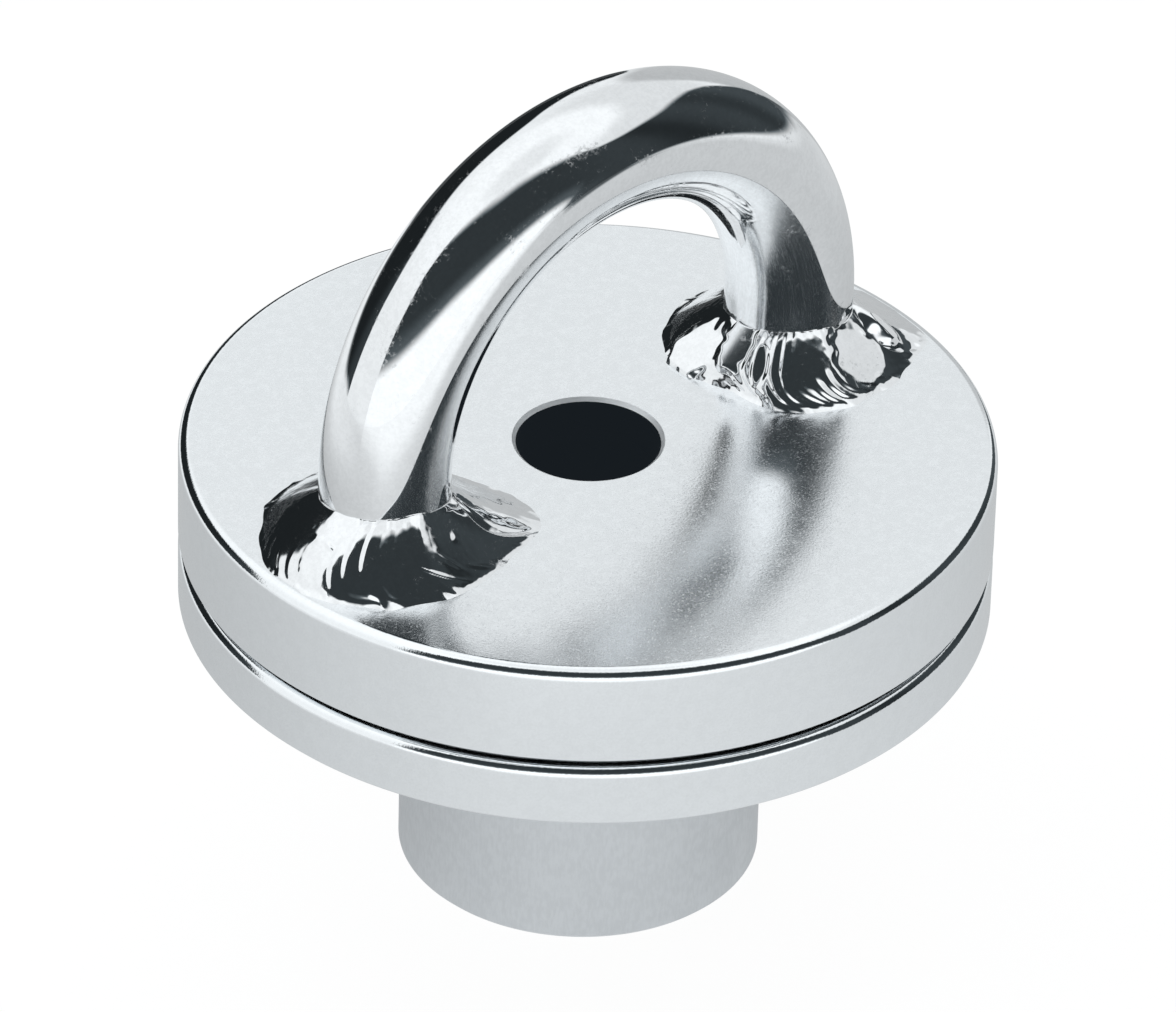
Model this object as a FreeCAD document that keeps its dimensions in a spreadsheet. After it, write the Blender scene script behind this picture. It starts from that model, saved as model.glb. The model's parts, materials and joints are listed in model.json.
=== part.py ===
"""Swivelling pad eye with a deck hub, in millimetres.

A round bar bent into a bail is welded to the eye plate. The eye plate turns on the deck flange about a hollow
pivot screw, and a pipe stub under the flange, the hub, fills the hole in the deck.

The origin is on the swivel's axis in the deck plane, which is the underside of the flange. +Z is up, and the
bail stands in the XZ plane.
"""
import FreeCAD, Part
import math
import os

import Sketcher

doc = FreeCAD.newDocument("PadEye")

# Driving dimensions

DIMENSIONS = [
    ("disc_dia", 75.0, "outside diameter of the eye plate and of the flange"),
    ("edge_round", 1.1, "rounding of both discs' upper outer edges"),
    ("edge_break", 0.3, "small bevel where an edge is only deburred"),
    ("seam_bevel", 0.5, "bevel of the eye plate's lower outer edge, at the seam between the discs"),
    ("flange_thk", 6.0, "thickness of the flange"),
    ("plate_thk", 10.0, "thickness of the eye plate"),
    ("running_gap", 0.5, "open seam between the flange and the eye plate"),
    ("hole_bevel", 0.5, "bevel at the mouth of the hole down the axis"),
    ("hub_od", 33.7, "outside diameter of the hub's pipe"),
    ("hub_wall", 3.4, "wall of the hub's pipe"),
    ("hub_len", 28.0, "length of the hub below the flange"),
    ("hub_bevel", 0.5, "bevel at the hub's lower end"),
    ("hub_seat", 2.5, "depth to which the hub is let into the flange"),
    ("hub_step", 0.25, "radial step where the hub's end is turned down for its seat"),
    ("hub_weld_leg", 2.0, "leg length of the weld between hub and flange"),
    ("bail_rod", 12.0, "diameter of the bail's round bar"),
    ("foot_inset", 12.9, "from the eye plate's rim in to the centre of each leg of the bail"),
    ("bail_leg", 6.5, "straight part of each leg above the eye plate"),
    ("bead_width", 5.4, "reach of the bail's welds over the plate, from the bar's skin"),
    ("bead_rise", 4.4, "reach of the bail's welds up the bar"),
    ("bead_bulge", 0.4, "how far a weld's face stands proud of a flat bevel"),
    ("puddle_pitch", 2.4, "distance between one weld puddle and the next"),
    ("ripple_height", 0.14, "height of the ripples that the puddles leave"),
    ("bush_land", 1.4, "width of the flange's land between the bush and the hub's bore"),
    ("bush_wall", 2.0, "wall of the bush"),
    ("journal_clear", 0.05, "radial running clearance of the journal in its bush"),
    ("thrust_od", 56.0, "outside diameter of the upper thrust washer"),
    ("thrust_thk", 2.0, "thickness of the upper thrust washer"),
    ("thrust_fit", 0.2, "radial clearance of the thrust washer in its recess"),
    ("thrust_play", 0.05, "axial play of the swivel at each thrust washer"),
    ("washer_clear", 0.5, "radial clearance of both thrust washers round the journal"),
    ("lower_thrust_thk", 1.5, "thickness of the lower thrust washer"),
    ("thread_shoulder", 1.0, "width of the shoulder between the pivot screw's journal and its thread"),
    ("screw_wall", 2.45, "wall of the pivot screw round the hole down its axis, clear of a 12 mm bolt"),
    ("thread_len", 6.0, "length of the thread in the eye plate"),
    ("thread_clear", 0.05, "radial clearance that stands for the thread's own"),
    ("thread_relief", 0.3, "room left above the end of the thread"),
    ("head_clear", 0.7, "radial clearance of the screw's head in the hub"),
    ("head_thk", 5.0, "thickness of the screw's head"),
    ("socket_step", 1.0, "how much wider the hexagon socket is than the hole"),
    ("socket_depth", 3.5, "depth of the hexagon socket"),
]

dims = doc.addObject("Spreadsheet::Sheet", "Dims")
for row, (alias, value, meaning) in enumerate(DIMENSIONS, start=1):
    dims.set("A%d" % row, meaning)
    dims.set("B%d" % row, str(value))
    dims.setAlias("B%d" % row, alias)
doc.recompute()

# Sizes that follow from the driving ones

DISC_R = "Dims.disc_dia / 2"
HUB_R = "Dims.hub_od / 2"
HUB_BORE_R = "(Dims.hub_od / 2 - Dims.hub_wall)"
HUB_SEAT_R = "(Dims.hub_od / 2 - Dims.hub_step)"
HUB_WELD_R = "(Dims.hub_od / 2 - Dims.hub_step + Dims.hub_weld_leg)"
BUSH_R = "(%s - Dims.bush_land)" % HUB_BORE_R
BUSH_BORE_R = "(%s - Dims.bush_wall)" % BUSH_R
JOURNAL_R = "(%s - Dims.journal_clear)" % BUSH_BORE_R
WASHER_BORE_R = "(%s + Dims.washer_clear)" % JOURNAL_R
THRUST_R = "Dims.thrust_od / 2"
RECESS_R = "(Dims.thrust_od / 2 + Dims.thrust_fit)"
RECESS_DEPTH = "(Dims.thrust_thk + Dims.thrust_play - Dims.running_gap)"
RECESS_FLOOR = "(Dims.flange_thk - %s)" % RECESS_DEPTH
THREAD_BORE_R = "(%s - Dims.thread_shoulder)" % JOURNAL_R
THREAD_R = "(%s - Dims.thread_clear)" % THREAD_BORE_R
HOLE_R = "(%s - Dims.screw_wall)" % THREAD_R
THREAD_BORE_LEN = "(Dims.thread_len + Dims.thread_relief)"
HEAD_R = "(%s - Dims.head_clear)" % HUB_BORE_R
JOURNAL_LEN = "(Dims.lower_thrust_thk + Dims.thrust_play + Dims.flange_thk + Dims.running_gap)"
SHOULDER_Z = "(Dims.head_thk + %s)" % JOURNAL_LEN
SCREW_LEN = "(%s + Dims.thread_len)" % SHOULDER_Z
SOCKET_CORNER_R = "((2 * %s + Dims.socket_step) / sqrt(3))" % HOLE_R
FOOT_X = "(Dims.disc_dia / 2 - Dims.foot_inset)"

# Heights of the pieces' own zero planes in the whole part

PLATE_Z = "(Dims.flange_thk + Dims.running_gap)"
PLATE_TOP_Z = "(Dims.flange_thk + Dims.running_gap + Dims.plate_thk)"
HEAD_TOP_Z = "-(Dims.lower_thrust_thk + Dims.thrust_play)"


def size(expression):
    """The value, in millimetres, of an expression in the sheet's cells."""
    return float(dims.evalExpression(expression))


# Sketches and features that several pieces share


def origin_plane(body, role):
    return next(plane for plane in body.Origin.OriginFeatures if plane.Role == role)


def new_body(name):
    body = doc.addObject("PartDesign::Body", name)
    body.Label = name
    return body


def sketch_on(body, name, role):
    sketch = body.newObject("Sketcher::SketchObject", name)
    sketch.AttachmentSupport = (origin_plane(body, role), [""])
    sketch.MapMode = "FlatFace"
    return sketch


def fix_point(sketch, line, end, across, up):
    """Hold one end of a line at a distance across and up from the sketch's origin."""
    for kind, expression, axis in (("DistanceX", across, -2), ("DistanceY", up, -1)):
        if expression == "0":
            sketch.addConstraint(Sketcher.Constraint("PointOnObject", line, end, axis))
        else:
            index = sketch.addConstraint(Sketcher.Constraint(kind, -1, 1, line, end, size(expression)))
            sketch.setExpression("Constraints[%d]" % index, expression)


def turned(name, outline):
    """A turned body: the closed outline of (radius, height) expressions, revolved about +Z."""
    body = new_body(name)
    sketch = sketch_on(body, name + "_profile", "XZ_Plane")
    corners = [FreeCAD.Vector(size(radius), size(height), 0) for radius, height in outline]
    count = len(corners)
    for i, corner in enumerate(corners):
        sketch.addGeometry(Part.LineSegment(corner, corners[(i + 1) % count]), False)
    for i, (radius, height) in enumerate(outline):
        sketch.addConstraint(Sketcher.Constraint("Coincident", i, 2, (i + 1) % count, 1))
        fix_point(sketch, i, 1, radius, height)
    turning = body.newObject("PartDesign::Revolution", name + "_turned")
    turning.Profile = sketch
    turning.ReferenceAxis = (sketch, ["V_Axis"])
    turning.Angle = 360
    sketch.Visibility = False
    doc.recompute()
    return body


def ring_edges(feature, rings):
    """Names of the feature's circular edges at the given (radius, height) expressions."""
    wanted = [(size(radius), size(height)) for radius, height in rings]
    names = []
    for number, edge in enumerate(feature.Shape.Edges, start=1):
        curve = edge.Curve
        if not isinstance(curve, Part.Circle):
            continue
        for radius, height in wanted:
            if abs(curve.Radius - radius) < 1e-4 and abs(curve.Center.z - height) < 1e-4:
                names.append("Edge%d" % number)
    return names


def round_edges(body, rings, radius):
    solid = body.Tip
    fillet = body.newObject("PartDesign::Fillet", body.Name + "_round")
    fillet.Base = (solid, ring_edges(solid, rings))
    fillet.setExpression("Radius", radius)
    doc.recompute()


def bevel_edges(body, rings, width):
    solid = body.Tip
    chamfer = body.newObject("PartDesign::Chamfer", body.Name + "_bevel")
    chamfer.Base = (solid, ring_edges(solid, rings))
    chamfer.setExpression("Size", width)
    doc.recompute()


def lift(piece, height):
    """Bind the height of a piece's own zero plane."""
    piece.setExpression("Placement.Base.z", height)


# Base: what is fixed in the deck


def make_deck_flange():
    """Disc on the deck.

    It has a recess for the thrust washer, a bore for the bush, and a ring groove underneath for the hub's end,
    whose outer edge is bevelled for the weld.
    """
    body = turned("deck_flange", [
        (BUSH_R, "0"),
        (HUB_BORE_R, "0"),
        (HUB_BORE_R, "Dims.hub_seat"),
        (HUB_SEAT_R, "Dims.hub_seat"),
        (HUB_SEAT_R, "Dims.hub_weld_leg"),
        (HUB_WELD_R, "0"),
        (DISC_R, "0"),
        (DISC_R, "Dims.flange_thk"),
        (RECESS_R, "Dims.flange_thk"),
        (RECESS_R, RECESS_FLOOR),
        (BUSH_R, RECESS_FLOOR),
    ])
    round_edges(body, [(DISC_R, "Dims.flange_thk")], "Dims.edge_round")
    bevel_edges(body, [(DISC_R, "0"), (RECESS_R, "Dims.flange_thk")], "Dims.edge_break")
    return body


def make_hub_tube():
    """Pipe stub, let into the flange by its turned end. Its zero plane is the lower end."""
    body = turned("hub_tube", [
        (HUB_BORE_R, "0"),
        (HUB_R, "0"),
        (HUB_R, "Dims.hub_len"),
        (HUB_SEAT_R, "Dims.hub_len"),
        (HUB_SEAT_R, "Dims.hub_len + Dims.hub_seat"),
        (HUB_BORE_R, "Dims.hub_len + Dims.hub_seat"),
    ])
    bevel_edges(body, [(HUB_R, "0"), (HUB_BORE_R, "0")], "Dims.hub_bevel")
    lift(body, "-Dims.hub_len")
    return body


def make_hub_weld():
    """Weld all round in the flange's bevel, dressed flush so that the flange beds flat on the deck."""
    return turned("hub_weld", [
        (HUB_SEAT_R, "0"),
        (HUB_WELD_R, "0"),
        (HUB_SEAT_R, "Dims.hub_weld_leg"),
    ])


def make_pivot_bush():
    """Plain bush pressed into the flange, flush with the recess and the underside."""
    body = turned("pivot_bush", [
        (BUSH_BORE_R, "0"),
        (BUSH_R, "0"),
        (BUSH_R, RECESS_FLOOR),
        (BUSH_BORE_R, RECESS_FLOOR),
    ])
    bevel_edges(body, [(BUSH_BORE_R, "0"), (BUSH_BORE_R, RECESS_FLOOR)], "Dims.edge_break")
    return body


def make_thrust_washer():
    """Washer in the flange's recess. The eye plate rests on it and stays clear of the flange."""
    body = turned("thrust_washer", [
        (WASHER_BORE_R, "0"),
        (THRUST_R, "0"),
        (THRUST_R, "Dims.thrust_thk"),
        (WASHER_BORE_R, "Dims.thrust_thk"),
    ])
    lift(body, RECESS_FLOOR)
    return body


# Eye: what turns


def make_eye_plate():
    """Disc that carries the bail, threaded from below for the pivot screw."""
    body = turned("eye_plate", [
        (THREAD_BORE_R, "0"),
        (DISC_R, "0"),
        (DISC_R, "Dims.plate_thk"),
        (HOLE_R, "Dims.plate_thk"),
        (HOLE_R, THREAD_BORE_LEN),
        (THREAD_BORE_R, THREAD_BORE_LEN),
    ])
    round_edges(body, [(DISC_R, "Dims.plate_thk")], "Dims.edge_round")
    bevel_edges(body, [(HOLE_R, "Dims.plate_thk")], "Dims.hole_bevel")
    bevel_edges(body, [(DISC_R, "0")], "Dims.seam_bevel")
    bevel_edges(body, [(THREAD_BORE_R, "0")], "Dims.edge_break")
    lift(body, PLATE_Z)
    return body


def make_pivot_screw():
    """Hollow shoulder screw, put in from inside the hub. Its zero plane is the head's lower face."""
    body = turned("pivot_screw", [
        (HOLE_R, "0"),
        (HEAD_R, "0"),
        (HEAD_R, "Dims.head_thk"),
        (JOURNAL_R, "Dims.head_thk"),
        (JOURNAL_R, SHOULDER_Z),
        (THREAD_R, SHOULDER_Z),
        (THREAD_R, SCREW_LEN),
        (HOLE_R, SCREW_LEN),
    ])
    socket = body.newObject("PartDesign::SubtractivePrism", "hexagon_socket")
    socket.Polygon = 6
    socket.setExpression("Circumradius", SOCKET_CORNER_R)
    socket.setExpression("Height", "Dims.socket_depth")
    doc.recompute()
    bevel_edges(body, [(HEAD_R, "0"), (THREAD_R, SCREW_LEN)], "Dims.edge_break")
    lift(body, "%s - Dims.head_thk" % HEAD_TOP_Z)
    return body


def make_lower_thrust_washer():
    """Washer on the screw's head, which holds the swivel down against the flange's underside."""
    body = turned("lower_thrust_washer", [
        (WASHER_BORE_R, "0"),
        (HEAD_R, "0"),
        (HEAD_R, "Dims.lower_thrust_thk"),
        (WASHER_BORE_R, "Dims.lower_thrust_thk"),
    ])
    lift(body, HEAD_TOP_Z)
    return body


def make_eye_bail():
    """Round bar: a straight leg, a half circle and a second leg, swept from one foot to the other."""
    body = new_body("eye_bail")
    foot = size(FOOT_X)
    leg = size("Dims.bail_leg")
    path = sketch_on(body, "bail_path", "XZ_Plane")
    path.addGeometry(Part.LineSegment(FreeCAD.Vector(-foot, 0, 0), FreeCAD.Vector(-foot, leg, 0)), False)
    half_circle = Part.Circle(FreeCAD.Vector(0, leg, 0), FreeCAD.Vector(0, 0, 1), foot)
    path.addGeometry(Part.ArcOfCircle(half_circle, 0, math.pi), False)
    path.addGeometry(Part.LineSegment(FreeCAD.Vector(foot, leg, 0), FreeCAD.Vector(foot, 0, 0)), False)
    path.addConstraint(Sketcher.Constraint("Coincident", 0, 2, 1, 2))
    path.addConstraint(Sketcher.Constraint("Coincident", 1, 1, 2, 1))
    path.addConstraint(Sketcher.Constraint("PointOnObject", 1, 3, -2))
    path.addConstraint(Sketcher.Constraint("Vertical", 0))
    path.addConstraint(Sketcher.Constraint("Vertical", 2))
    path.addConstraint(Sketcher.Constraint("PointOnObject", 0, 1, -1))
    path.addConstraint(Sketcher.Constraint("PointOnObject", 2, 2, -1))
    path.addConstraint(Sketcher.Constraint("Horizontal", 0, 2, 1, 3))
    path.addConstraint(Sketcher.Constraint("Horizontal", 2, 1, 1, 3))
    radius = path.addConstraint(Sketcher.Constraint("Radius", 1, foot))
    path.setExpression("Constraints[%d]" % radius, FOOT_X)
    height = path.addConstraint(Sketcher.Constraint("DistanceY", -1, 1, 1, 3, leg))
    path.setExpression("Constraints[%d]" % height, "Dims.bail_leg")

    section = sketch_on(body, "bail_section", "XY_Plane")
    bar = Part.Circle(FreeCAD.Vector(-foot, 0, 0), FreeCAD.Vector(0, 0, 1), size("Dims.bail_rod / 2"))
    section.addGeometry(bar, False)
    section.addConstraint(Sketcher.Constraint("PointOnObject", 0, 3, -1))
    thickness = section.addConstraint(Sketcher.Constraint("Diameter", 0, size("Dims.bail_rod")))
    section.setExpression("Constraints[%d]" % thickness, "Dims.bail_rod")
    place = section.addConstraint(Sketcher.Constraint("DistanceX", 0, 3, -1, 1, foot))
    section.setExpression("Constraints[%d]" % place, FOOT_X)

    sweep = body.newObject("PartDesign::AdditivePipe", "bail_bar")
    sweep.Profile = section
    sweep.Spine = (path, ["Edge1", "Edge2", "Edge3"])
    path.Visibility = False
    section.Visibility = False
    lift(body, PLATE_TOP_Z)
    doc.recompute()
    return body


# Bail's welds: each is a ring of puddles laid round a leg on the plate
#
# A weld's width, its height and its bulge are each a base value from the sheet plus lobes. A lobe has its size
# in millimetres, its direction in degrees, and the degrees over which it falls off before and after that
# direction. The run that was laid last ends in a ridge, and beyond it the weld is a hollow apron: apron has the
# directions where that starts and ends, the degrees over which it does so, and its depth.

STEP_SHARE = 0.3  # part of a puddle's pitch that its steep side takes
RIPPLE_LAG = 5.0  # degrees by which a ripple's middle trails its ends
RIDGE_BOW = 10.0  # degrees by which the ridge bows back in its middle
RIDGE_TIP = 8.0  # degrees by which the ridge's lower end runs ahead

WELDS = {
    "bail_weld_left": {
        "side": -1,
        "width": [(2.7, -31.0, 17.0, 26.0), (-0.5, 138.0, 25.0, 20.0), (0.3, 172.0, 20.0, 40.0)],
        "rise": [(1.5, -115.0, 80.0, 55.0), (-0.8, 105.0, 40.0, 40.0)],
        "bulge": [(-0.3, -82.0, 24.0, 20.0), (-0.2, 100.0, 40.0, 30.0)],
        "apron": (-46.0, 30.0, 7.0, 30.0, 0.9),
    },
    "bail_weld_right": {
        "side": 1,
        "width": [(-1.9, -163.0, 38.0, 22.0), (1.5, -31.0, 16.0, 30.0)],
        "rise": [(1.0, -120.0, 80.0, 50.0), (-0.8, 105.0, 40.0, 40.0)],
        "bulge": [(-0.3, -92.0, 40.0, 26.0), (-0.2, 100.0, 40.0, 30.0)],
        "apron": (-52.0, 30.0, 7.0, 30.0, 0.9),
    },
}


def turned_by(angle, start):
    """Degrees from one direction to another, between -180 and 180."""
    return (angle - start + 180.0) % 360.0 - 180.0


def lobed(angle, base, lobes):
    """The base value plus each lobe's share in one direction."""
    total = base
    for amount, centre, before, after in lobes:
        off = turned_by(angle, centre)
        total += amount * math.exp(-((off / (before if off < 0 else after)) ** 2))
    return total


def smooth_step(share):
    share = min(max(share, 0.0), 1.0)
    return share * share * (3.0 - 2.0 * share)


def between(angle, start, end, soft_start, soft_end):
    """1 between two directions and 0 elsewhere, with soft changes over the degrees given for each."""
    off = turned_by(angle, (start + end) / 2)
    half = (end - start) / 2
    return smooth_step((off + half) / soft_start + 0.5) * smooth_step((half - off) / soft_end + 0.5)


def plate_reach(angle, foot_x):
    """Distance from a foot's centre to where the plate's flat top ends, in one direction."""
    flat = size(DISC_R) - size("Dims.edge_round")
    turn = math.radians(angle)
    return -foot_x * math.cos(turn) + math.sqrt(flat ** 2 - (foot_x * math.sin(turn)) ** 2)


def weld_face(weld, skin, foot_x, angle, share, swell):
    """Radius and height of a point on a weld's face, at a share of the way from its toe up to the bar."""
    bar = size("Dims.bail_rod / 2")
    toe = min(bar + lobed(angle, size("Dims.bead_width"), weld["width"]), plate_reach(angle, foot_x)) + swell
    top = lobed(angle, size("Dims.bead_rise"), weld["rise"]) + swell / 2
    start, end, soft_start, soft_end, depth = weld["apron"]
    start += RIDGE_TIP * (1 - share) ** 2 - RIDGE_BOW * math.sin(math.pi * share)
    hollow = depth * between(angle, start, end, soft_start, soft_end)
    bulge = lobed(angle, size("Dims.bead_bulge"), weld["bulge"]) + swell - hollow
    proud = 4 * bulge * share * (1 - share) / math.hypot(toe - skin, top)
    return toe + (skin - toe) * share + proud * top, top * share + proud * (toe - skin)


def make_bail_weld(name, weld):
    """Bead round one foot, laid by hand, so that it isn't the same all round. It stops at the plate's edge.

    It is a closed ruled loft through two sections a puddle. Every puddle starts with a short steep step and
    falls off slowly, and the middle of its ripple trails the two ends, as in a bead laid in one direction. The
    sections start so far out from the bar's axis that the flat faces between them touch the bar without
    cutting into it.
    """
    bar = size("Dims.bail_rod / 2")
    foot_x = weld["side"] * size(FOOT_X)
    ripple = size("Dims.ripple_height")
    puddles = round(2 * math.pi * (bar + size("Dims.bead_width / 2")) / size("Dims.puddle_pitch"))
    skin = bar / math.cos(math.pi * (1 - STEP_SHARE) / puddles)
    sections = []
    for i in range(2 * puddles):
        puddle, on_crest = divmod(i, 2)
        angle = 360.0 * (puddle + STEP_SHARE * on_crest) / puddles
        swell = ripple if on_crest else -ripple
        points = []
        for quarter in range(5):
            share = quarter / 4
            trailing = angle - RIPPLE_LAG * math.sin(math.pi * share)
            radius, height = weld_face(weld, skin, foot_x, trailing, share, swell)
            turn = math.radians(trailing)
            points.append(FreeCAD.Vector(radius * math.cos(turn), radius * math.sin(turn), height))
        toe, low, middle, high, head = points
        foot = FreeCAD.Vector(head.x, head.y, 0)
        sections.append(Part.Wire([
            Part.LineSegment(foot, toe).toShape(),
            Part.Arc(toe, low, middle).toShape(),
            Part.Arc(middle, high, head).toShape(),
            Part.LineSegment(head, foot).toShape(),
        ]))
    as_solid, ruled, closed = True, True, True
    bead = doc.addObject("Part::Feature", name)
    bead.Label = name
    bead.Shape = Part.makeLoft(sections, as_solid, ruled, closed)
    bead.setExpression("Placement.Base.x", "%d * %s" % (weld["side"], FOOT_X))
    bead.setExpression("Placement.Base.z", PLATE_TOP_Z)
    return bead


pieces = [
    make_deck_flange(),
    make_hub_tube(),
    make_hub_weld(),
    make_pivot_bush(),
    make_thrust_washer(),
    make_eye_plate(),
    make_pivot_screw(),
    make_lower_thrust_washer(),
    make_eye_bail(),
    *(make_bail_weld(name, weld) for name, weld in WELDS.items()),
]

doc.recompute()
for item in doc.Objects:
    if "Invalid" in item.State or "Error" in item.State:
        raise RuntimeError("%s failed: %s" % (item.Name, item.State))
for piece in pieces:
    if piece.Shape.isNull() or not piece.Shape.isValid():
        raise RuntimeError("%s has no valid shape" % piece.Label)

os.makedirs("parts", exist_ok=True)
for piece in pieces:
    piece.Shape.exportStep("parts/%s.step" % piece.Label)
    box = piece.Shape.BoundBox
    print("%-20s %9.1f mm3  z %6.2f to %6.2f" % (piece.Label, piece.Shape.Volume, box.ZMin, box.ZMax))
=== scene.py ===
"""Looks of the swivelling pad eye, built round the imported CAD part. Metres, in the part's own frame."""

import json
import math

import bpy
from mathutils import Matrix, Vector, noise


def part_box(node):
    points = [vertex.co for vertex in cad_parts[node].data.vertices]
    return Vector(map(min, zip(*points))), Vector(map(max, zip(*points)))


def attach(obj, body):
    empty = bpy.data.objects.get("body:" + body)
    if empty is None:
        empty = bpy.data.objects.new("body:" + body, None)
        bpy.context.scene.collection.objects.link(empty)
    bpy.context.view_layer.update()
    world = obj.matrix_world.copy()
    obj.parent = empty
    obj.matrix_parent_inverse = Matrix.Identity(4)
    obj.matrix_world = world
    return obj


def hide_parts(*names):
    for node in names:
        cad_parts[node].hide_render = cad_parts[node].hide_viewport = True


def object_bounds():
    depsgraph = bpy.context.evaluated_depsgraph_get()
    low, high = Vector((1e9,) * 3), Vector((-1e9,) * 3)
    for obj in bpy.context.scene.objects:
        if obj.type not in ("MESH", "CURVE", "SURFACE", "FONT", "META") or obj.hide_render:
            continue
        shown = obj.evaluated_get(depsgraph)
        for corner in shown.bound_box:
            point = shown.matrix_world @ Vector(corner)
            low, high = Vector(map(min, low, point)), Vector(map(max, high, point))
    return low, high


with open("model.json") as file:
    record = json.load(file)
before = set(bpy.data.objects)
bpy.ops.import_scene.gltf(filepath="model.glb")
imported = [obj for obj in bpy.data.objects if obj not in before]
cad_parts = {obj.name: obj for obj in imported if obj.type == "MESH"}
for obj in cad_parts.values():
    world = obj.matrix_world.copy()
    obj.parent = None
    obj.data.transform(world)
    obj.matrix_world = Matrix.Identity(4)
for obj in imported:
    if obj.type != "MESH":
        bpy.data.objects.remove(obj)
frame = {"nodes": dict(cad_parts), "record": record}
cad_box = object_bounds()

MM = 0.001
BLACK = (0.0, 0.0, 0.0, 1.0)
WHITE = (1.0, 1.0, 1.0, 1.0)
PLATE_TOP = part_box("eye_plate")[1].z
FLOOR = cad_box[0].z - 0.02 * MM  # just clear of the hub's end
SQUARE = 2.4  # exponent of the rounded rectangles that patches of light and flat spots have: 2 is an ellipse

# Sizes of the part in millimetres. Radii are from the axis, and heights from the underside of the flange.

DISC = 37.5  # radius of both discs
EDGE_ROUND, EDGE_BREAK, BEVEL = 1.1, 0.3, 0.5
PLATE_EDGE = DISC - EDGE_ROUND  # radius where the discs' rounded edges begin, which no bead passes
FLANGE_FACE = 6.0  # height
PLATE_BASE, PLATE_FACE = 6.5, 16.5  # heights
HOLE = 6.5  # radius
SCREW_BORE, SCREW_BORE_END = 9.0, 12.8  # radius and height of the plate's wider bore
RECESS, RECESS_FLOOR = 28.2, 4.45  # radius and height of the thrust washer's recess
BUSH_BORE = 12.05  # radius
HUB, HUB_BORE, HUB_END = 16.85, 13.45, -28.0  # the pipe's two radii and the height of its lower end
HUB_SEAT, SEAT_DEPTH = 16.6, 2.5  # radius of the pipe's turned upper end, and how far it is let in
GROOVE = 2.0  # width and depth of the groove for the hub's weld
BAR, FOOT, LEG = 6.0, 24.6, 6.5  # the bail: its bar's radius, how far out its feet are and its straight part


# Camera, at the photograph's viewing angle


def add_camera():
    azimuth, elevation, roll = (math.radians(angle) for angle in (-42.44, 33.92, 1.55))
    distance, shift_right, shift_up = 0.91425, 0.00004, 0.00616
    back = Vector((
        math.sin(azimuth) * math.cos(elevation),
        -math.cos(azimuth) * math.cos(elevation),
        math.sin(elevation),
    ))
    level = Vector((math.cos(azimuth), math.sin(azimuth), 0))
    across = math.cos(roll) * level + math.sin(roll) * back.cross(level)
    up = back.cross(across)
    data = bpy.data.cameras.new("camera")
    data.lens = 306.12
    data.sensor_width = 36
    data.clip_end = 20
    camera = bpy.data.objects.new("camera", data)
    place = Vector((0, 0, PLATE_TOP)) + distance * back - shift_right * across - shift_up * up
    turn = Matrix((across, up, back)).transposed().to_4x4()
    camera.matrix_world = Matrix.Translation(place) @ turn
    bpy.context.scene.collection.objects.link(camera)
    bpy.context.scene.camera = camera


# Node graphs


class Graph:
    """Short spelling for a node tree: each call adds a node and returns one of its outputs."""

    def __init__(self, tree):
        self.tree = tree
        tree.nodes.clear()

    def node(self, kind, output=0, inputs=None, **settings):
        made = self.tree.nodes.new("ShaderNode" + kind)
        for name, value in settings.items():
            setattr(made, name, value)
        for socket, value in (inputs or {}).items():
            self.feed(made, socket, value)
        return made.outputs[output] if made.outputs else made

    def feed(self, made, socket, value):
        if isinstance(value, bpy.types.NodeSocket):
            self.tree.links.new(value, made.inputs[socket])
        else:
            made.inputs[socket].default_value = value

    def math(self, operation, *values):
        return self.node("Math", inputs=dict(enumerate(values)), operation=operation)

    def ramp(self, value, low, high, out_low=0.0, out_high=1.0):
        """Smooth step from out_low, where the value is low, to out_high, where it is high."""
        inputs = {0: value, 1: low, 2: high, 3: out_low, 4: out_high}
        return self.node("MapRange", inputs=inputs, interpolation_type="SMOOTHSTEP")

    def mix_shader(self, share, first, second):
        return self.node("MixShader", inputs={0: share, 1: first, 2: second})

    def noise(self, place, scale, detail=2.0, roughness=0.5, distortion=0.0):
        inputs = {"Vector": place, "Scale": scale, "Detail": detail, "Roughness": roughness,
                  "Distortion": distortion}
        return self.node("TexNoise", inputs=inputs)

    def stretched(self, place, scale):
        return self.node("Mapping", inputs={"Vector": place, "Scale": scale})

    def split(self, vector):
        """X, Y and Z of a vector."""
        parts = self.tree.nodes.new("ShaderNodeSeparateXYZ")
        self.feed(parts, 0, vector)
        return tuple(parts.outputs)

    def length(self, x, y):
        return self.math("SQRT", self.math("ADD", self.math("MULTIPLY", x, x), self.math("MULTIPLY", y, y)))

    def degrees_round(self, x, y):
        return self.math("MULTIPLY", self.math("ARCTAN2", y, x), 180 / math.pi)

    def mix(self, share, first, second):
        """Mix of two numbers."""
        return self.node("Mix", inputs={0: share, 2: first, 3: second})

    def blend(self, share, first, second):
        """Mix of two colours."""
        return self.node("Mix", output=2, data_type="RGBA", inputs={0: share, 6: first, 7: second})

    def curve(self, azimuth, points, low, high):
        """Smooth line through (azimuth, value) points, with the values between low and high."""
        made = self.tree.nodes.new("ShaderNodeFloatCurve")
        spots = [((x + 180) / 360, (y - low) / (high - low)) for x, y in points]
        line = made.mapping.curves[0].points
        line[0].location, line[1].location = spots[0], spots[-1]
        for spot in spots[1:-1]:
            line.new(*spot)
        for point in line:
            point.handle_type = "AUTO_CLAMPED"
        made.mapping.update()
        self.feed(made, 1, self.math("MULTIPLY_ADD", azimuth, 1 / 360, 0.5))
        return self.math("MULTIPLY_ADD", made.outputs[0], high - low, low)


# Studio: a white tent with dark openings and a pale floor, as the polished bar mirrors it. Directions are in
# degrees: azimuth from +X towards +Y, and elevation. Each line below is a row of (azimuth, elevation) points,
# and each row of levels one of (azimuth, brightness).

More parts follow.
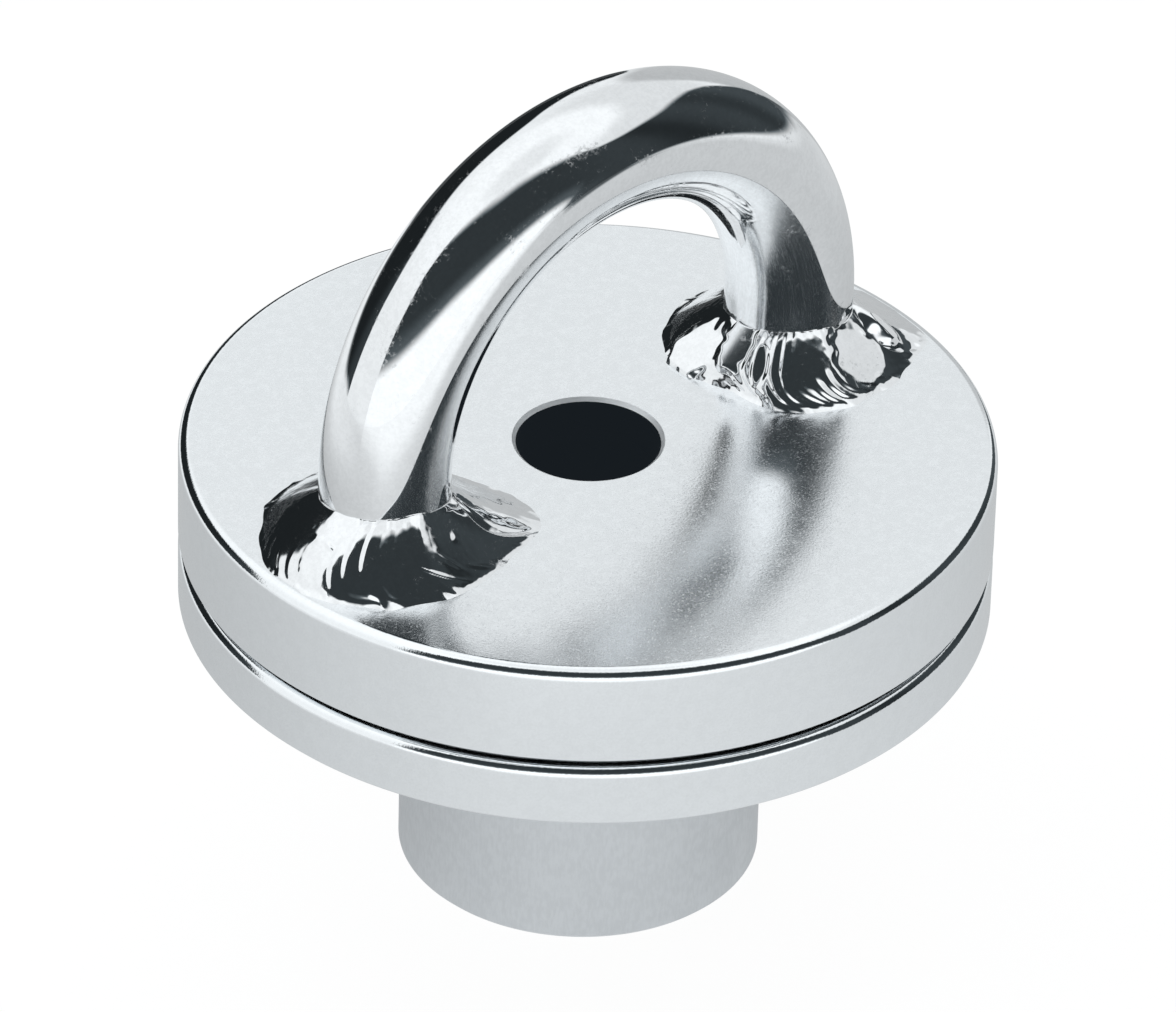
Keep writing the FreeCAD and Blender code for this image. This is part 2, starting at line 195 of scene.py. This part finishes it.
OPENING_TOPS = (
    (-180, 59), (-160, 67), (-140, 70), (-110, 70), (-90, 67), (-75, 61), (-62, 50), (-55, 39), (-45, 36),
    (-20, 36), (0, 32), (12, 23), (20, 9), (27, -9), (32, -30), (46, -30), (50, 0), (56, 7), (63, 18),
    (72, 28), (90, 30), (112, 32), (124, 28), (131, 18), (135, 2), (139, -30), (172, -30), (176, 50),
    (180, 59),
)
OPENING_SILLS = (
    (-180, 11), (-160, 15), (-140, 18), (-120, 19), (-100, 15.5), (-85, 11), (-72, 5), (-66, -2),
    (-63, -11), (-50, -6), (-30, -3.5), (-10, -4), (10, -7), (25, -12), (48, -36), (54, -33), (58, -29),
    (66, -22), (75, -14), (95, -10), (115, -9), (130, -6), (145, -6), (172, 30), (176, 42), (180, 11),
)
OPENING_LEVELS = (
    (-180, 0.045), (-75, 0.045), (-55, 0.055), (-43, 0.028), (-32, 0.05), (-20, 0.062), (-5, 0.045),
    (15, 0.08), (48, 0.018), (110, 0.018), (132, 0.05), (180, 0.045),
)
HORIZON = (
    (-180, -9), (-150, -16), (-120, -20), (-95, -21), (-80, -18), (-70, -11), (-64, -2), (-58, -5),
    (20, -9), (30, -27), (46, -30), (52, -15), (80, -12), (115, -10), (150, -5), (180, -9),
)
FLOOR_LEVELS = (
    (-180, 0.80), (-160, 0.86), (-141, 1.14), (-120, 1.04), (-100, 0.86), (-68, 0.74), (-30, 0.70),
    (20, 0.76), (44, 0.80), (52, 1.0), (80, 1.05), (120, 1.0), (150, 0.93), (180, 0.80),
)
NEAR_FLOOR_LEVELS = (  # painted shadow: the floor's glow, as the metal mirrors it, is dimmed near the object, where the object keeps the light off the floor
    (-180, 0.71), (-140, 0.80), (-100, 0.79), (-50, 0.70), (0, 0.59), (60, 0.54), (110, 0.55), (150, 0.62),
    (180, 0.72),
)
FRONT_END = (-70.0, -58.0)  # azimuths over which the studio's front, behind the camera, gives way to its side
LAMP_LEVEL = 1.22
DARK_TINT = (0.74, 0.91, 1.0, 1.0)
LIGHT_TINT = (0.957, 0.986, 1.0, 1.0)


def tint_of(graph, level):
    """Colour of the light where its brightness is level."""
    return graph.blend(graph.ramp(level, 0.0, 0.5), DARK_TINT, LIGHT_TINT)


def mirrored_level(graph, direction):
    """Brightness of the studio in one direction."""
    x, y, z = graph.split(graph.node("VectorMath", operation="NORMALIZE", inputs={0: direction}))
    azimuth = graph.degrees_round(x, y)
    elevation = graph.math("MULTIPLY", graph.math("ARCSINE", z), 180 / math.pi)

    def below(line, soft):
        """1 below a line, 0 above it, changing over soft degrees."""
        drop = graph.math("SUBTRACT", line, elevation)
        half = graph.math("MULTIPLY", soft, 0.5)
        return graph.ramp(drop, graph.math("MULTIPLY", half, -1.0), half)

    def away(offset, half):
        return graph.math("POWER", graph.math("ABSOLUTE", graph.math("DIVIDE", offset, half)), SQUARE)

    def patch(under, level, middle, height, half_width, half_height, soft):
        """The brightness under it, with a patch of another level laid over it."""
        turn = graph.math("WRAP", graph.math("SUBTRACT", azimuth, middle), 180.0, -180.0)
        rise = graph.math("SUBTRACT", elevation, height)
        spread = graph.math("ADD", away(turn, half_width), away(rise, half_height))
        return graph.mix(graph.ramp(spread, 1 - soft, 1 + soft, 1.0, 0.0), under, level)

    front = graph.ramp(azimuth, *FRONT_END, 1.0, 0.0)
    tent = graph.ramp(elevation, 20.0, 60.0, 1.0, 1.15)
    overhead = graph.ramp(elevation, 68.0, 82.0, 1.0, 0.85)  # dimmer, so the plate doesn't clip from above
    tent = graph.math("MULTIPLY", tent, overhead)
    tent = patch(tent, level=0.88, middle=0.0, height=36.0, half_width=62.0, half_height=18.0, soft=0.6)
    tent = patch(tent, level=0.58, middle=35.0, height=-2.0, half_width=14.0, half_height=27.0, soft=0.35)
    lamp = graph.math("MULTIPLY", front, graph.ramp(elevation, 20.0, 30.0, 1.0, 0.0))
    tent = graph.mix(lamp, tent, LAMP_LEVEL)
    floor = graph.curve(azimuth, FLOOR_LEVELS, 0.0, 2.0)
    horizon = below(graph.curve(azimuth, HORIZON, -90.0, 90.0), graph.mix(front, 6.0, 16.0))
    level = graph.mix(horizon, tent, floor)
    top = graph.curve(azimuth, OPENING_TOPS, -90.0, 90.0)
    sill = graph.curve(azimuth, OPENING_SILLS, -90.0, 90.0)
    over_sill = graph.math("SUBTRACT", 1.0, below(sill, graph.mix(front, 4.0, 8.0)))
    opening = graph.math("MULTIPLY", below(top, graph.mix(front, 4.0, 13.0)), over_sill)
    dark = graph.curve(azimuth, OPENING_LEVELS, 0.0, 1.0)
    haze = graph.ramp(graph.math("SUBTRACT", elevation, sill), 2.0, 15.0, 0.08, 0.0)
    dark = graph.math("ADD", dark, graph.math("MULTIPLY", haze, front))
    return graph.mix(opening, level, dark)


def light_world():
    world = bpy.data.worlds.new("studio")
    world.use_nodes = True
    bpy.context.scene.world = world
    graph = Graph(world.node_tree)
    level = mirrored_level(graph, graph.node("TexCoord", output="Generated"))
    camera_ray = graph.tree.nodes.new("ShaderNodeLightPath").outputs["Is Camera Ray"]
    tint = graph.blend(camera_ray, tint_of(graph, level), WHITE)
    strength = graph.mix(camera_ray, level, 1.0)
    background = graph.node("Background", inputs={"Color": tint, "Strength": strength})
    graph.node("OutputWorld", inputs={"Surface": background})


def add_floor():
    """Round white floor under the hub, lit to show white with a faint shadow. From below it is clear."""
    mesh = bpy.data.meshes.new("floor")
    sides, radius = 96, 0.55
    near_end, far_start = 80 * MM, 220 * MM
    mirror_height = PLATE_TOP + 20 * MM  # the far floor shows the studio as the bail's middle faces it
    white_glow = 1.06  # over 1, so that the floor shows plain white beside its shadow
    glowing = 0.9  # share of the surface that shows that glow, and of its mirror image that is the studio's
    turns = [2 * math.pi * i / sides for i in range(sides)]
    ring = [(radius * math.cos(turn), radius * math.sin(turn), FLOOR) for turn in turns]
    mesh.from_pydata(ring, [], [list(range(sides))])
    floor = bpy.data.objects.new("floor", mesh)
    bpy.context.scene.collection.objects.link(floor)
    material = bpy.data.materials.new("floor_white")
    material.use_nodes = True
    graph = Graph(material.node_tree)
    rays = graph.tree.nodes.new("ShaderNodeLightPath").outputs
    place = graph.node("TexCoord", output="Object")
    paper = graph.noise(place, 900.0, detail=3.0)
    diffuse = graph.node("BsdfDiffuse", inputs={"Color": graph.ramp(paper, 0.3, 0.7, 0.80, 0.84)})
    shown = graph.node("Emission", inputs={"Color": WHITE, "Strength": white_glow})
    towards = graph.node("VectorMath", operation="SUBTRACT", inputs={0: place, 1: (0.0, 0.0, mirror_height)})
    x, y, z = graph.split(place)
    # painted shadow: near the hub the floor's mirrored glow takes these dimmer levels
    near = graph.curve(graph.degrees_round(x, y), NEAR_FLOOR_LEVELS, 0.0, 2.0)
    far = graph.ramp(graph.length(x, y), near_end, far_start)
    level = graph.mix(far, near, mirrored_level(graph, towards))
    mirrored = graph.node("Emission", inputs={"Color": tint_of(graph, level), "Strength": level})
    surface = graph.mix_shader(graph.math("MULTIPLY", rays["Is Camera Ray"], glowing), diffuse, shown)
    surface = graph.mix_shader(graph.math("MULTIPLY", rays["Is Glossy Ray"], glowing), surface, mirrored)
    from_below = graph.node("NewGeometry", output="Backfacing")
    surface = graph.mix_shader(from_below, surface, graph.node("BsdfTransparent"))
    graph.node("OutputMaterial", inputs={"Surface": surface})
    mesh.materials.append(material)


# Materials


SMUDGES, MOTTLE, PIT_PATCHES = 160.0, 900.0, 260.0  # scales of soft smudges, worn spots and patches of pits
COVER = 0.05  # millimetres by which a finish reaches past the edge that it is for
RIM_RADIUS = (PLATE_EDGE - COVER) * MM  # from here out and from these heights up, the rims are bright
PLATE_RIM = PLATE_TOP - (EDGE_ROUND + COVER) * MM
FLANGE_RIM = ((FLANGE_FACE - EDGE_ROUND / 2) * MM, (EDGE_ROUND / 2 + COVER) * MM)  # middle and half height
BEVEL_RADIUS = (HOLE + BEVEL + COVER) * MM  # outer end of the bevel round the bore
# below this height the bore's wall is painted black, as painted shade
BORE_TOP = PLATE_TOP - 0.33 * MM
PAINTED_BORE_GLOW = (0.0085, 0.0115, 0.0145, 1.0)  # painted light: a faint glow on the bore's wall, which is painted black as shade, for the little light that it gives back


def metal(name, color, roughness, spread, grain, depth, streaks=None, specks=None, machined=False,
          metallic=1.0):
    """Bare metal, or a plain solid where metallic is 0.

    roughness varies by spread in soft smudges, grain is the scale of its fine texture and depth that
    texture's height in metres. streaks is the stretch of that texture along X, Y and Z. specks are fine pits:
    their scale, how much they gather in patches, the noise where they start and where they are full, and
    their roughness. A machined piece has bright rounded rims and a bore down the axis painted black as shade,
    with a faint painted glow, and its pits are faint off the top.
    """
    material = bpy.data.materials.new(name)
    material.use_nodes = True
    graph = Graph(material.node_tree)
    place = graph.node("TexCoord", output="Object")
    if machined:
        x, y, z = graph.split(place)
        off_axis = graph.length(x, y)
        on_top = graph.ramp(z, PLATE_TOP - 0.1 * MM, PLATE_TOP - 0.05 * MM)
    textured = graph.stretched(place, streaks) if streaks else place
    fine = graph.noise(textured, grain, detail=3.0, roughness=0.6)
    bump = graph.node("Bump", inputs={"Strength": 1.0, "Distance": depth, "Height": fine})

    smudge = graph.noise(place, SMUDGES, detail=4.0, roughness=0.6, distortion=0.4)
    dull = graph.ramp(smudge, 0.25, 0.75, roughness - spread, roughness + spread)
    if specks:
        scale, patchy, start, full, rough = specks
        pits = graph.noise(place, scale, detail=3.0, roughness=0.7)
        pits = graph.math("MULTIPLY_ADD", graph.noise(place, PIT_PATCHES, detail=3.0), patchy, pits)
        pitted = graph.ramp(pits, start, full)
        if machined:
            pitted = graph.math("MULTIPLY", pitted, graph.mix(on_top, 0.15, 1.0))
        dull = graph.mix(pitted, dull, rough)

    mottle = graph.math("ADD", fine, graph.math("MULTIPLY", graph.noise(place, MOTTLE), 0.6))
    worn = graph.ramp(mottle, 0.6, 1.0, 1.0, 0.0)
    if machined:
        worn = graph.math("MULTIPLY", worn, graph.mix(on_top, 0.6, 1.6))
    tint = graph.blend(worn, (*color, 1.0), (*(0.94 * part for part in color), 1.0))

    inputs = {"Metallic": metallic}
    if machined:
        plate_high = graph.math("GREATER_THAN", z, PLATE_RIM)
        high = graph.math("MAXIMUM", plate_high, graph.math("COMPARE", z, *FLANGE_RIM))
        rim = graph.math("MULTIPLY", graph.math("GREATER_THAN", off_axis, RIM_RADIUS), high)
        bevel = graph.math("LESS_THAN", off_axis, BEVEL_RADIUS)
        # painted shade: inside the bore, below the top of its bevel, the colour is black with no specular,
        # where a deep hole lies in shade, and a faint painted glow stands for the light it gives back
        inside = graph.math("MULTIPLY", bevel, graph.math("LESS_THAN", z, BORE_TOP))
        tint = graph.blend(inside, tint, BLACK)
        dull = graph.mix(bevel, graph.mix(rim, dull, 0.06), 0.42)
        inputs = {
            "Metallic": graph.mix(bevel, metallic, 0.4),
            "Specular IOR Level": graph.mix(inside, 0.5, 0.0),
            "Emission Color": graph.blend(inside, BLACK, PAINTED_BORE_GLOW),
            "Emission Strength": 1.0,
        }
    inputs.update({"Base Color": tint, "Roughness": dull, "Normal": bump})
    surface = graph.node("BsdfPrincipled", inputs=inputs)
    graph.node("OutputMaterial", inputs={"Surface": surface})
    return material


def make_materials():
    return {
        "polished_steel": metal("polished_steel", (0.86, 0.87, 0.88), 0.045, 0.02, 2500.0, 1e-7,
                                specks=(2100.0, 0.6, 0.85, 1.10, 0.29)),
        "weld_metal": metal("weld_metal", (0.88, 0.89, 0.90), 0.06, 0.02, 2500.0, 2e-7,
                            specks=(2100.0, 0.6, 0.89, 1.14, 0.29)),
        "satin_steel": metal("satin_steel", (0.905, 0.925, 0.94), 0.155, 0.03, 4200.0, 8e-6,
                             specks=(5000.0, 0.1, 0.56, 0.72, 0.30), machined=True),
        "mill_steel": metal("mill_steel", (0.74, 0.76, 0.78), 0.42, 0.05, 3200.0, 2e-6, (1.0, 1.0, 0.3)),
        "turned_steel": metal("turned_steel", (0.80, 0.81, 0.82), 0.2, 0.04, 3000.0, 2e-6, (0.2, 0.2, 2.0),
                              machined=True),
        "bush_bronze": metal("bush_bronze", (0.66, 0.45, 0.24), 0.3, 0.05, 2500.0, 2e-6),
        "washer_acetal": metal("washer_acetal", (0.86, 0.86, 0.83), 0.45, 0.05, 2500.0, 2e-6, metallic=0.0),
    }


# Pieces


def new_piece(node, verts, faces, origin, material, crease):
    """Mesh object from millimetre points round an origin in metres. Edges over crease degrees stay sharp."""
    mesh = bpy.data.meshes.new(node)
    mesh.from_pydata([tuple(o + v * MM for o, v in zip(origin, vert)) for vert in verts], [], faces)
    mesh.update()
    mesh.shade_smooth()
    mesh.set_sharp_from_angle(angle=math.radians(crease))
    mesh.materials.append(material)
    piece = bpy.data.objects.new("shown_" + node, mesh)
    bpy.context.scene.collection.objects.link(piece)
    return piece


# Welds: the CAD part's beads, with the ripples and nicks that are too fine for it. Lengths are in millimetres
# and directions in degrees round the foot. A share runs from 0 at the toe, on the plate, to 1 at the bar.

WIDTH, RISE, BULGE = 5.4, 4.4, 0.4  # of a bead before its lobes
RIPPLE_HEIGHT = 0.13
UNEVEN, APRON_UNEVEN = 0.007, 0.05  # heights of the slight waves all over a bead and in its apron
SKIRT = 0.07  # share over which every toe feathers out; where it is dragged, that is more

# A row of a weld says
# side: the foot's side of the axis, -1 or 1
# width, rise, bulge: lobes of how far it reaches out, how high it climbs the bar and how far its face swells.
#         A lobe is (size, direction, degrees before and after it)
# apron: hollow beyond the ridge where the run stops (start, end, degrees that its ends take, depth)
# lag: degrees that a ripple's two ends trail its middle, at the toe and at the bar
# pitch, step: degrees from one ripple to the next, and the share of them that its steep side takes
# lip: where the face is drawn in below the bar (start, end, share above which it is, change of that share
#         from start to end, depth)
# ripples: (strength, direction, degrees, share, shares), fading over those degrees and shares
# nicks: small raised spots (direction, share, degrees, shares, degrees leant over the whole way up, height)
# facets: flat spots (direction, share, degrees, shares, way the flat faces in azimuth and elevation, depth,
#         softness of its edge, whether it only cuts)
WELDS = {
    "bail_weld_left": {
        "side": -1,
        "width": ((2.7, -31.0, 17.0, 26.0), (-0.5, 138.0, 25.0, 20.0), (0.3, 172.0, 20.0, 40.0)),
        "rise": ((1.5, -115.0, 80.0, 55.0), (-0.8, 105.0, 40.0, 40.0)),
        "bulge": ((-0.3, -82.0, 24.0, 20.0), (-0.2, 100.0, 40.0, 30.0)),
        "apron": (-46.0, 30.0, 7.0, 30.0, 0.9),
        "lag": (16.0, 10.0),
        "pitch": 9.0,
        "step": 0.3,
        "lip": (-152.0, -88.0, 0.79, 0.2, 0.05),
        "ripples": (
            (0.15, -118.0, 38.0, 0.5, 9.0), (1.6, -144.0, 7.0, 0.62, 0.32), (1.0, -158.0, 6.0, 0.35, 0.25),
            (0.8, -134.0, 8.0, 0.15, 0.15), (0.7, -42.0, 6.0, 0.5, 0.6), (1.2, 170.0, 16.0, 0.12, 0.18),
        ),
        "nicks": (
            (-80.0, 0.60, 3.0, 0.065, 0.0, 0.08), (-92.0, 0.36, 1.6, 0.10, -40.0, 0.08),
            (-100.0, 0.25, 1.6, 0.14, -80.0, 0.09), (-74.0, 0.12, 2.0, 0.10, -60.0, 0.08),
            (-137.0, 0.12, 7.0, 0.05, -40.0, 0.08), (-72.0, 0.90, 6.0, 0.025, 0.0, 0.04),
            (-166.0, 0.60, 2.4, 0.035, -60.0, 0.11), (-176.0, 0.62, 3.0, 0.05, 20.0, 0.12),
        ),
        "facets": (),
    },
    "bail_weld_right": {
        "side": 1,
        "width": ((-1.9, -163.0, 38.0, 22.0), (1.5, -31.0, 16.0, 30.0)),
        "rise": ((1.0, -120.0, 80.0, 50.0), (-0.8, 105.0, 40.0, 40.0)),
        "bulge": ((-0.3, -92.0, 40.0, 26.0), (-0.2, 100.0, 40.0, 30.0)),
        "apron": (-52.0, 30.0, 7.0, 30.0, 0.9),
        "lag": (28.0, 4.0),
        "pitch": 8.5,
        "step": 0.4,
        "lip": (-150.0, -92.0, 0.88, 0.0, 0.10),
        "ripples": (
            (1.7, -118.0, 32.0, 0.20, 0.20), (1.2, -138.0, 10.0, 0.75, 0.3), (1.0, -160.0, 8.0, 0.6, 0.5),
            (0.6, -42.0, 9.0, 0.6, 0.3),
        ),
        "nicks": ((-95.0, 0.5, 5.0, 0.32, 20.0, 0.10),),
        "facets": (
            (-81.0, 0.55, 19.0, 0.44, -82.0, 50.5, 0.30, 0.3, True),
            (-172.0, 0.76, 11.0, 0.46, -150.0, 40.0, 0.0, 0.4, False),
            (162.0, 0.38, 15.0, 0.46, 180.0, 53.0, 0.08, 0.5, False),
            (-151.0, 0.50, 5.0, 0.24, -140.0, 40.0, 0.1, 0.6, False),
            (-45.0, 0.55, 9.0, 0.4, -30.0, 44.0, 0.0, 0.8, False),
        ),
    },
}


def turned_by(angle, start):
    """Degrees from one direction to another, between -180 and 180."""
    return (angle - start + 180.0) % 360.0 - 180.0


def lobed(angle, base, lobes):
    """base with the lobes' sizes added to it, each fading with the degrees from its direction."""
    total = base
    for amount, centre, before, after in lobes:
        off = turned_by(angle, centre)
        total += amount * math.exp(-((off / (before if off < 0 else after)) ** 2))
    return total


def smooth_step(share):
    """Smooth rise from 0 at 0 to 1 at 1."""
    share = min(max(share, 0.0), 1.0)
    return share * share * (3.0 - 2.0 * share)


def between(angle, start, end, soft_start, soft_end):
    """1 between two directions and 0 elsewhere, with soft changes over the degrees given for each."""
    off = turned_by(angle, (start + end) / 2)
    half = (end - start) / 2
    return smooth_step((off + half) / soft_start + 0.5) * smooth_step((half - off) / soft_end + 0.5)


def compass(angle):
    """Level unit vector in a direction."""
    return Vector((math.cos(math.radians(angle)), math.sin(math.radians(angle)), 0.0))


def wander(weld, angle, scale, seed):
    """Noise that changes round the foot, with its own course on each bead."""
    return noise.noise(compass(angle) * scale + Vector((0, 0, seed + weld["side"])))


def ripple_height(weld, angle, share):
    """Height of the ripples: a steep step up, then a slow fall, with each line trailing at its ends."""
    lag = weld["lag"][0 if share < 0.5 else 1]
    line = angle - lag * (1 - math.sqrt(max(1 - (1 - 2 * share) ** 2, 0.0)))
    phase = (line + 3.0 * wander(weld, angle, 3, 3.0)) / weld["pitch"]
    part = phase % 1.0
    size = 0.75 + 0.7 * noise.noise(Vector((math.floor(phase) * 3.7, weld["side"], share * 1.3)))
    rise = part / weld["step"] if part < weld["step"] else (1.0 - part) / (1 - weld["step"])
    strength = sum(amount * math.exp(-((turned_by(angle, at) / wide) ** 2) - (((share - level) / tall) ** 2))
                   for amount, at, wide, level, tall in weld["ripples"])
    fade = min(1.0, 2.5 * math.sin(math.pi * share))
    return RIPPLE_HEIGHT * strength * size * (0.7 * rise + 0.3 * smooth_step(rise)) * fade


def plain_face(weld, angle, share, uneven=1.0):
    """Point and outward direction of the bead before its ripples and facets."""
    out, up = compass(angle), Vector((0, 0, 1))
    edge = -weld["side"] * FOOT * out.x + math.sqrt(PLATE_EDGE ** 2 - (FOOT * out.y) ** 2)
    toe = BAR + lobed(angle, WIDTH, weld["width"])
    toe = min(toe + 0.2 * uneven * wander(weld, angle, 2.6, 5.0), edge)
    top = lobed(angle, RISE, weld["rise"]) + 0.3 * uneven * wander(weld, angle, 2.2, 9.0)
    start, end, soft_start, soft_end, depth = weld["apron"]
    start += 8.0 * (1 - share) ** 2 - 10.0 * math.sin(math.pi * share)
    hollow = uneven * depth * between(angle, start, end, soft_start, soft_end)
    bulge = lobed(angle, BULGE, weld["bulge"]) - hollow
    chord = Vector((BAR - toe, top))
    lean = Vector((top, toe - BAR)).normalized()
    point = Vector((toe, 0.0)) + chord * share + lean * (4 * bulge * share * (1 - share))
    face = (lean * chord.length - chord * (4 * bulge * (1 - 2 * share)) / chord.length).normalized()
    dragged = SKIRT + 0.2 * max(wander(weld, angle + 40.0 * share, 8, 1.0), 0.0)
    if share < dragged:
        skirt = (0.3 + 1.3 * (dragged - SKIRT)) * (1 - share / dragged) ** 2
        skirt *= 0.8 + wander(weld, angle, 3.5, 1.0)
        point.x = min(point.x + uneven * skirt, max(edge, point.x))
    return point.x * out + point.y * up, face.x * out + face.y * up


def facet_height(weld, angle, share, point, face, height):
    """Height above the plain face once the weld's flat spots are laid on it."""
    for at, level, wide, tall, azimuth, elevation, depth, soft, only_cuts in weld["facets"]:
        away = abs(turned_by(angle, at) / wide) ** SQUARE + abs((share - level) / tall) ** SQUARE
        ragged = 0.25 * noise.noise(compass(angle) * 7 + Vector((0, 0, share * 5)))
        held = smooth_step((1 + soft / 2 - away ** (1 / SQUARE) - ragged) / soft)
        if held > 0:
            flat = compass(azimuth) * math.cos(math.radians(elevation))
            flat.z = math.sin(math.radians(elevation))
            middle = plain_face(weld, at, level, uneven=0.0)[0] - flat * depth
            target = (middle - point).dot(flat) / face.dot(flat)
            height += held * ((min(target, height) if only_cuts else target) - height)
    return height


def weld_point(weld, angle, share):
    """Point of the bead's face round the foot's axis, at a share of the way from its toe up to the bar."""
    point, face = plain_face(weld, angle, share)
    height = ripple_height(weld, angle, share) + UNEVEN * noise.noise(point * 1.9)
    start, end = weld["apron"][:2]
    height += APRON_UNEVEN * between(angle, start + 4.0, end, 8.0, 30.0) * noise.noise(point * 0.9)
    for at, level, wide, tall, lean, amount in weld["nicks"]:
        off = turned_by(angle, at) - lean * (share - level)
        height += amount * math.exp(-((off / wide) ** 2) - (((share - level) / tall) ** 2))
    start, end, level, climb, drop = weld["lip"]
    level += climb * (turned_by(angle, start) / (end - start) - 0.5) + 0.05 * noise.noise(compass(angle) * 11)
    height -= drop * between(angle, start, end, 12.0, 12.0) * max((share - level) / 0.12, 0.0) ** 2
    point += face * facet_height(weld, angle, share, point, face, height)
    out = compass(angle)
    radius = max(point.dot(out), BAR) if share < 1 else BAR
    return radius * out.x, radius * out.y, max(point.z, 0.0) if share > 0 else 0.0


def add_weld(node, weld, material):
    """Bead round one foot, closed by a plain wall just inside the bar's skin."""
    around, across, wall_depth = 1080, 64, 0.2
    foot_x = weld["side"] * FOOT
    inside = 1 - wall_depth / BAR
    verts, faces = [], []
    for i in range(around):
        angle = 360.0 * i / around
        for j in range(across + 1):
            x, y, z = weld_point(weld, angle, j / across)
            verts.append((foot_x + x, y, z))
        x, y, z = weld_point(weld, angle, 1.0)
        verts += [(foot_x + inside * x, inside * y, z), (foot_x + inside * x, inside * y, 0.0)]
    row = across + 3
    for i in range(around):
        a, b = i * row, ((i + 1) % around) * row
        faces += [(a + j, b + j, b + (j + 1) % row, a + (j + 1) % row) for j in range(row)]
    bead = new_piece(node, verts, faces, (0, 0, PLATE_TOP), material, crease=60.0)
    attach(bead, "eye")
    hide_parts(node)


# Turned pieces


def rounded_edge(face, steps=14):
    """Points of a disc's rounded edge, from its side up to its face at that height."""
    turns = [math.pi / 2 * i / steps for i in range(steps + 1)]
    middle = face - EDGE_ROUND
    return [(PLATE_EDGE + EDGE_ROUND * math.cos(turn), middle + EDGE_ROUND * math.sin(turn))
            for turn in turns]


def add_turned(node, body, outline, material):
    """Closed outline of (radius, height) points in millimetres, turned round the axis."""
    around = 360
    count = len(outline)
    verts, faces = [], []
    for i in range(around):
        turn = 2 * math.pi * i / around
        verts += [(r * math.cos(turn), r * math.sin(turn), z) for r, z in outline]
        a, b = i * count, ((i + 1) % around) * count
        faces += [(a + j, b + j, b + (j + 1) % count, a + (j + 1) % count) for j in range(count)]
    piece = new_piece(node, verts, faces, (0, 0, 0), material, crease=20.0)
    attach(piece, body)
    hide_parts(node)


def add_discs(materials):
    middle_ring = 24.0  # one more ring of points in the plate's wide face
    add_turned("eye_plate", "eye", [
        (SCREW_BORE + EDGE_BREAK, PLATE_BASE), (DISC - BEVEL, PLATE_BASE), (DISC, PLATE_BASE + BEVEL),
        *rounded_edge(PLATE_FACE),
        (middle_ring, PLATE_FACE), (HOLE + BEVEL, PLATE_FACE), (HOLE, PLATE_FACE - BEVEL),
        (HOLE, SCREW_BORE_END), (SCREW_BORE, SCREW_BORE_END), (SCREW_BORE, PLATE_BASE + EDGE_BREAK),
    ], materials["satin_steel"])
    add_turned("deck_flange", "base", [
        (HUB_SEAT + GROOVE, 0.0), (DISC - EDGE_BREAK, 0.0), (DISC, EDGE_BREAK),
        *rounded_edge(FLANGE_FACE),
        (RECESS + EDGE_BREAK, FLANGE_FACE), (RECESS, FLANGE_FACE - EDGE_BREAK), (RECESS, RECESS_FLOOR),
        (BUSH_BORE, RECESS_FLOOR), (BUSH_BORE, 0.0), (HUB_BORE, 0.0), (HUB_BORE, SEAT_DEPTH),
        (HUB_SEAT, SEAT_DEPTH), (HUB_SEAT, GROOVE),
    ], materials["satin_steel"])
    add_turned("hub_tube", "base", [
        (HUB_BORE + BEVEL, HUB_END), (HUB - BEVEL, HUB_END), (HUB, HUB_END + BEVEL), (HUB, 0.0),
        (HUB_SEAT, 0.0), (HUB_SEAT, SEAT_DEPTH), (HUB_BORE, SEAT_DEPTH), (HUB_BORE, HUB_END + BEVEL),
    ], materials["mill_steel"])


def add_bail(material):
    """The bar, from foot to foot: a straight leg, a half circle and the other leg."""
    around, bends = 96, 180
    leg_heights = (0.0, 2.0, 4.0)  # below the bend, whose first point ends the leg
    turns = [math.pi * (1 - i / bends) for i in range(bends + 1)]
    path = [(-FOOT, z, -1.0, 0.0) for z in leg_heights]
    arc = [(math.cos(turn), math.sin(turn)) for turn in turns]
    path += [(FOOT * out_x, LEG + FOOT * out_z, out_x, out_z) for out_x, out_z in arc]
    path += [(FOOT, z, 1.0, 0.0) for z in reversed(leg_heights)]
    verts, faces = [], []
    last = len(path) - 1
    for x, z, out_x, out_z in path:
        for k in range(around):
            turn = 2 * math.pi * k / around
            out, side = BAR * math.cos(turn), BAR * math.sin(turn)
            verts.append((x + out_x * out, side, z + out_z * out))
    for i in range(last):
        a, b = i * around, (i + 1) * around
        faces += [(a + k, b + k, b + (k + 1) % around, a + (k + 1) % around) for k in range(around)]
    faces.append(tuple(range(around)))
    faces.append(tuple(last * around + k for k in range(around - 1, -1, -1)))
    piece = new_piece("eye_bail", verts, faces, (0, 0, PLATE_TOP), material, crease=30.0)
    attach(piece, "eye")
    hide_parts("eye_bail")


# The scene


bpy.context.scene.view_settings.view_transform = "Standard"
add_camera()
light_world()
add_floor()
materials = make_materials()
slots = {row["node"]: row["material_slot"] for row in frame["record"]["subparts"]}
for name, piece in frame["nodes"].items():
    for place in piece.material_slots:
        place.material = materials[slots[name]]
add_discs(materials)
add_bail(materials["polished_steel"])
for node, weld in WELDS.items():
    add_weld(node, weld, materials["weld_metal"])
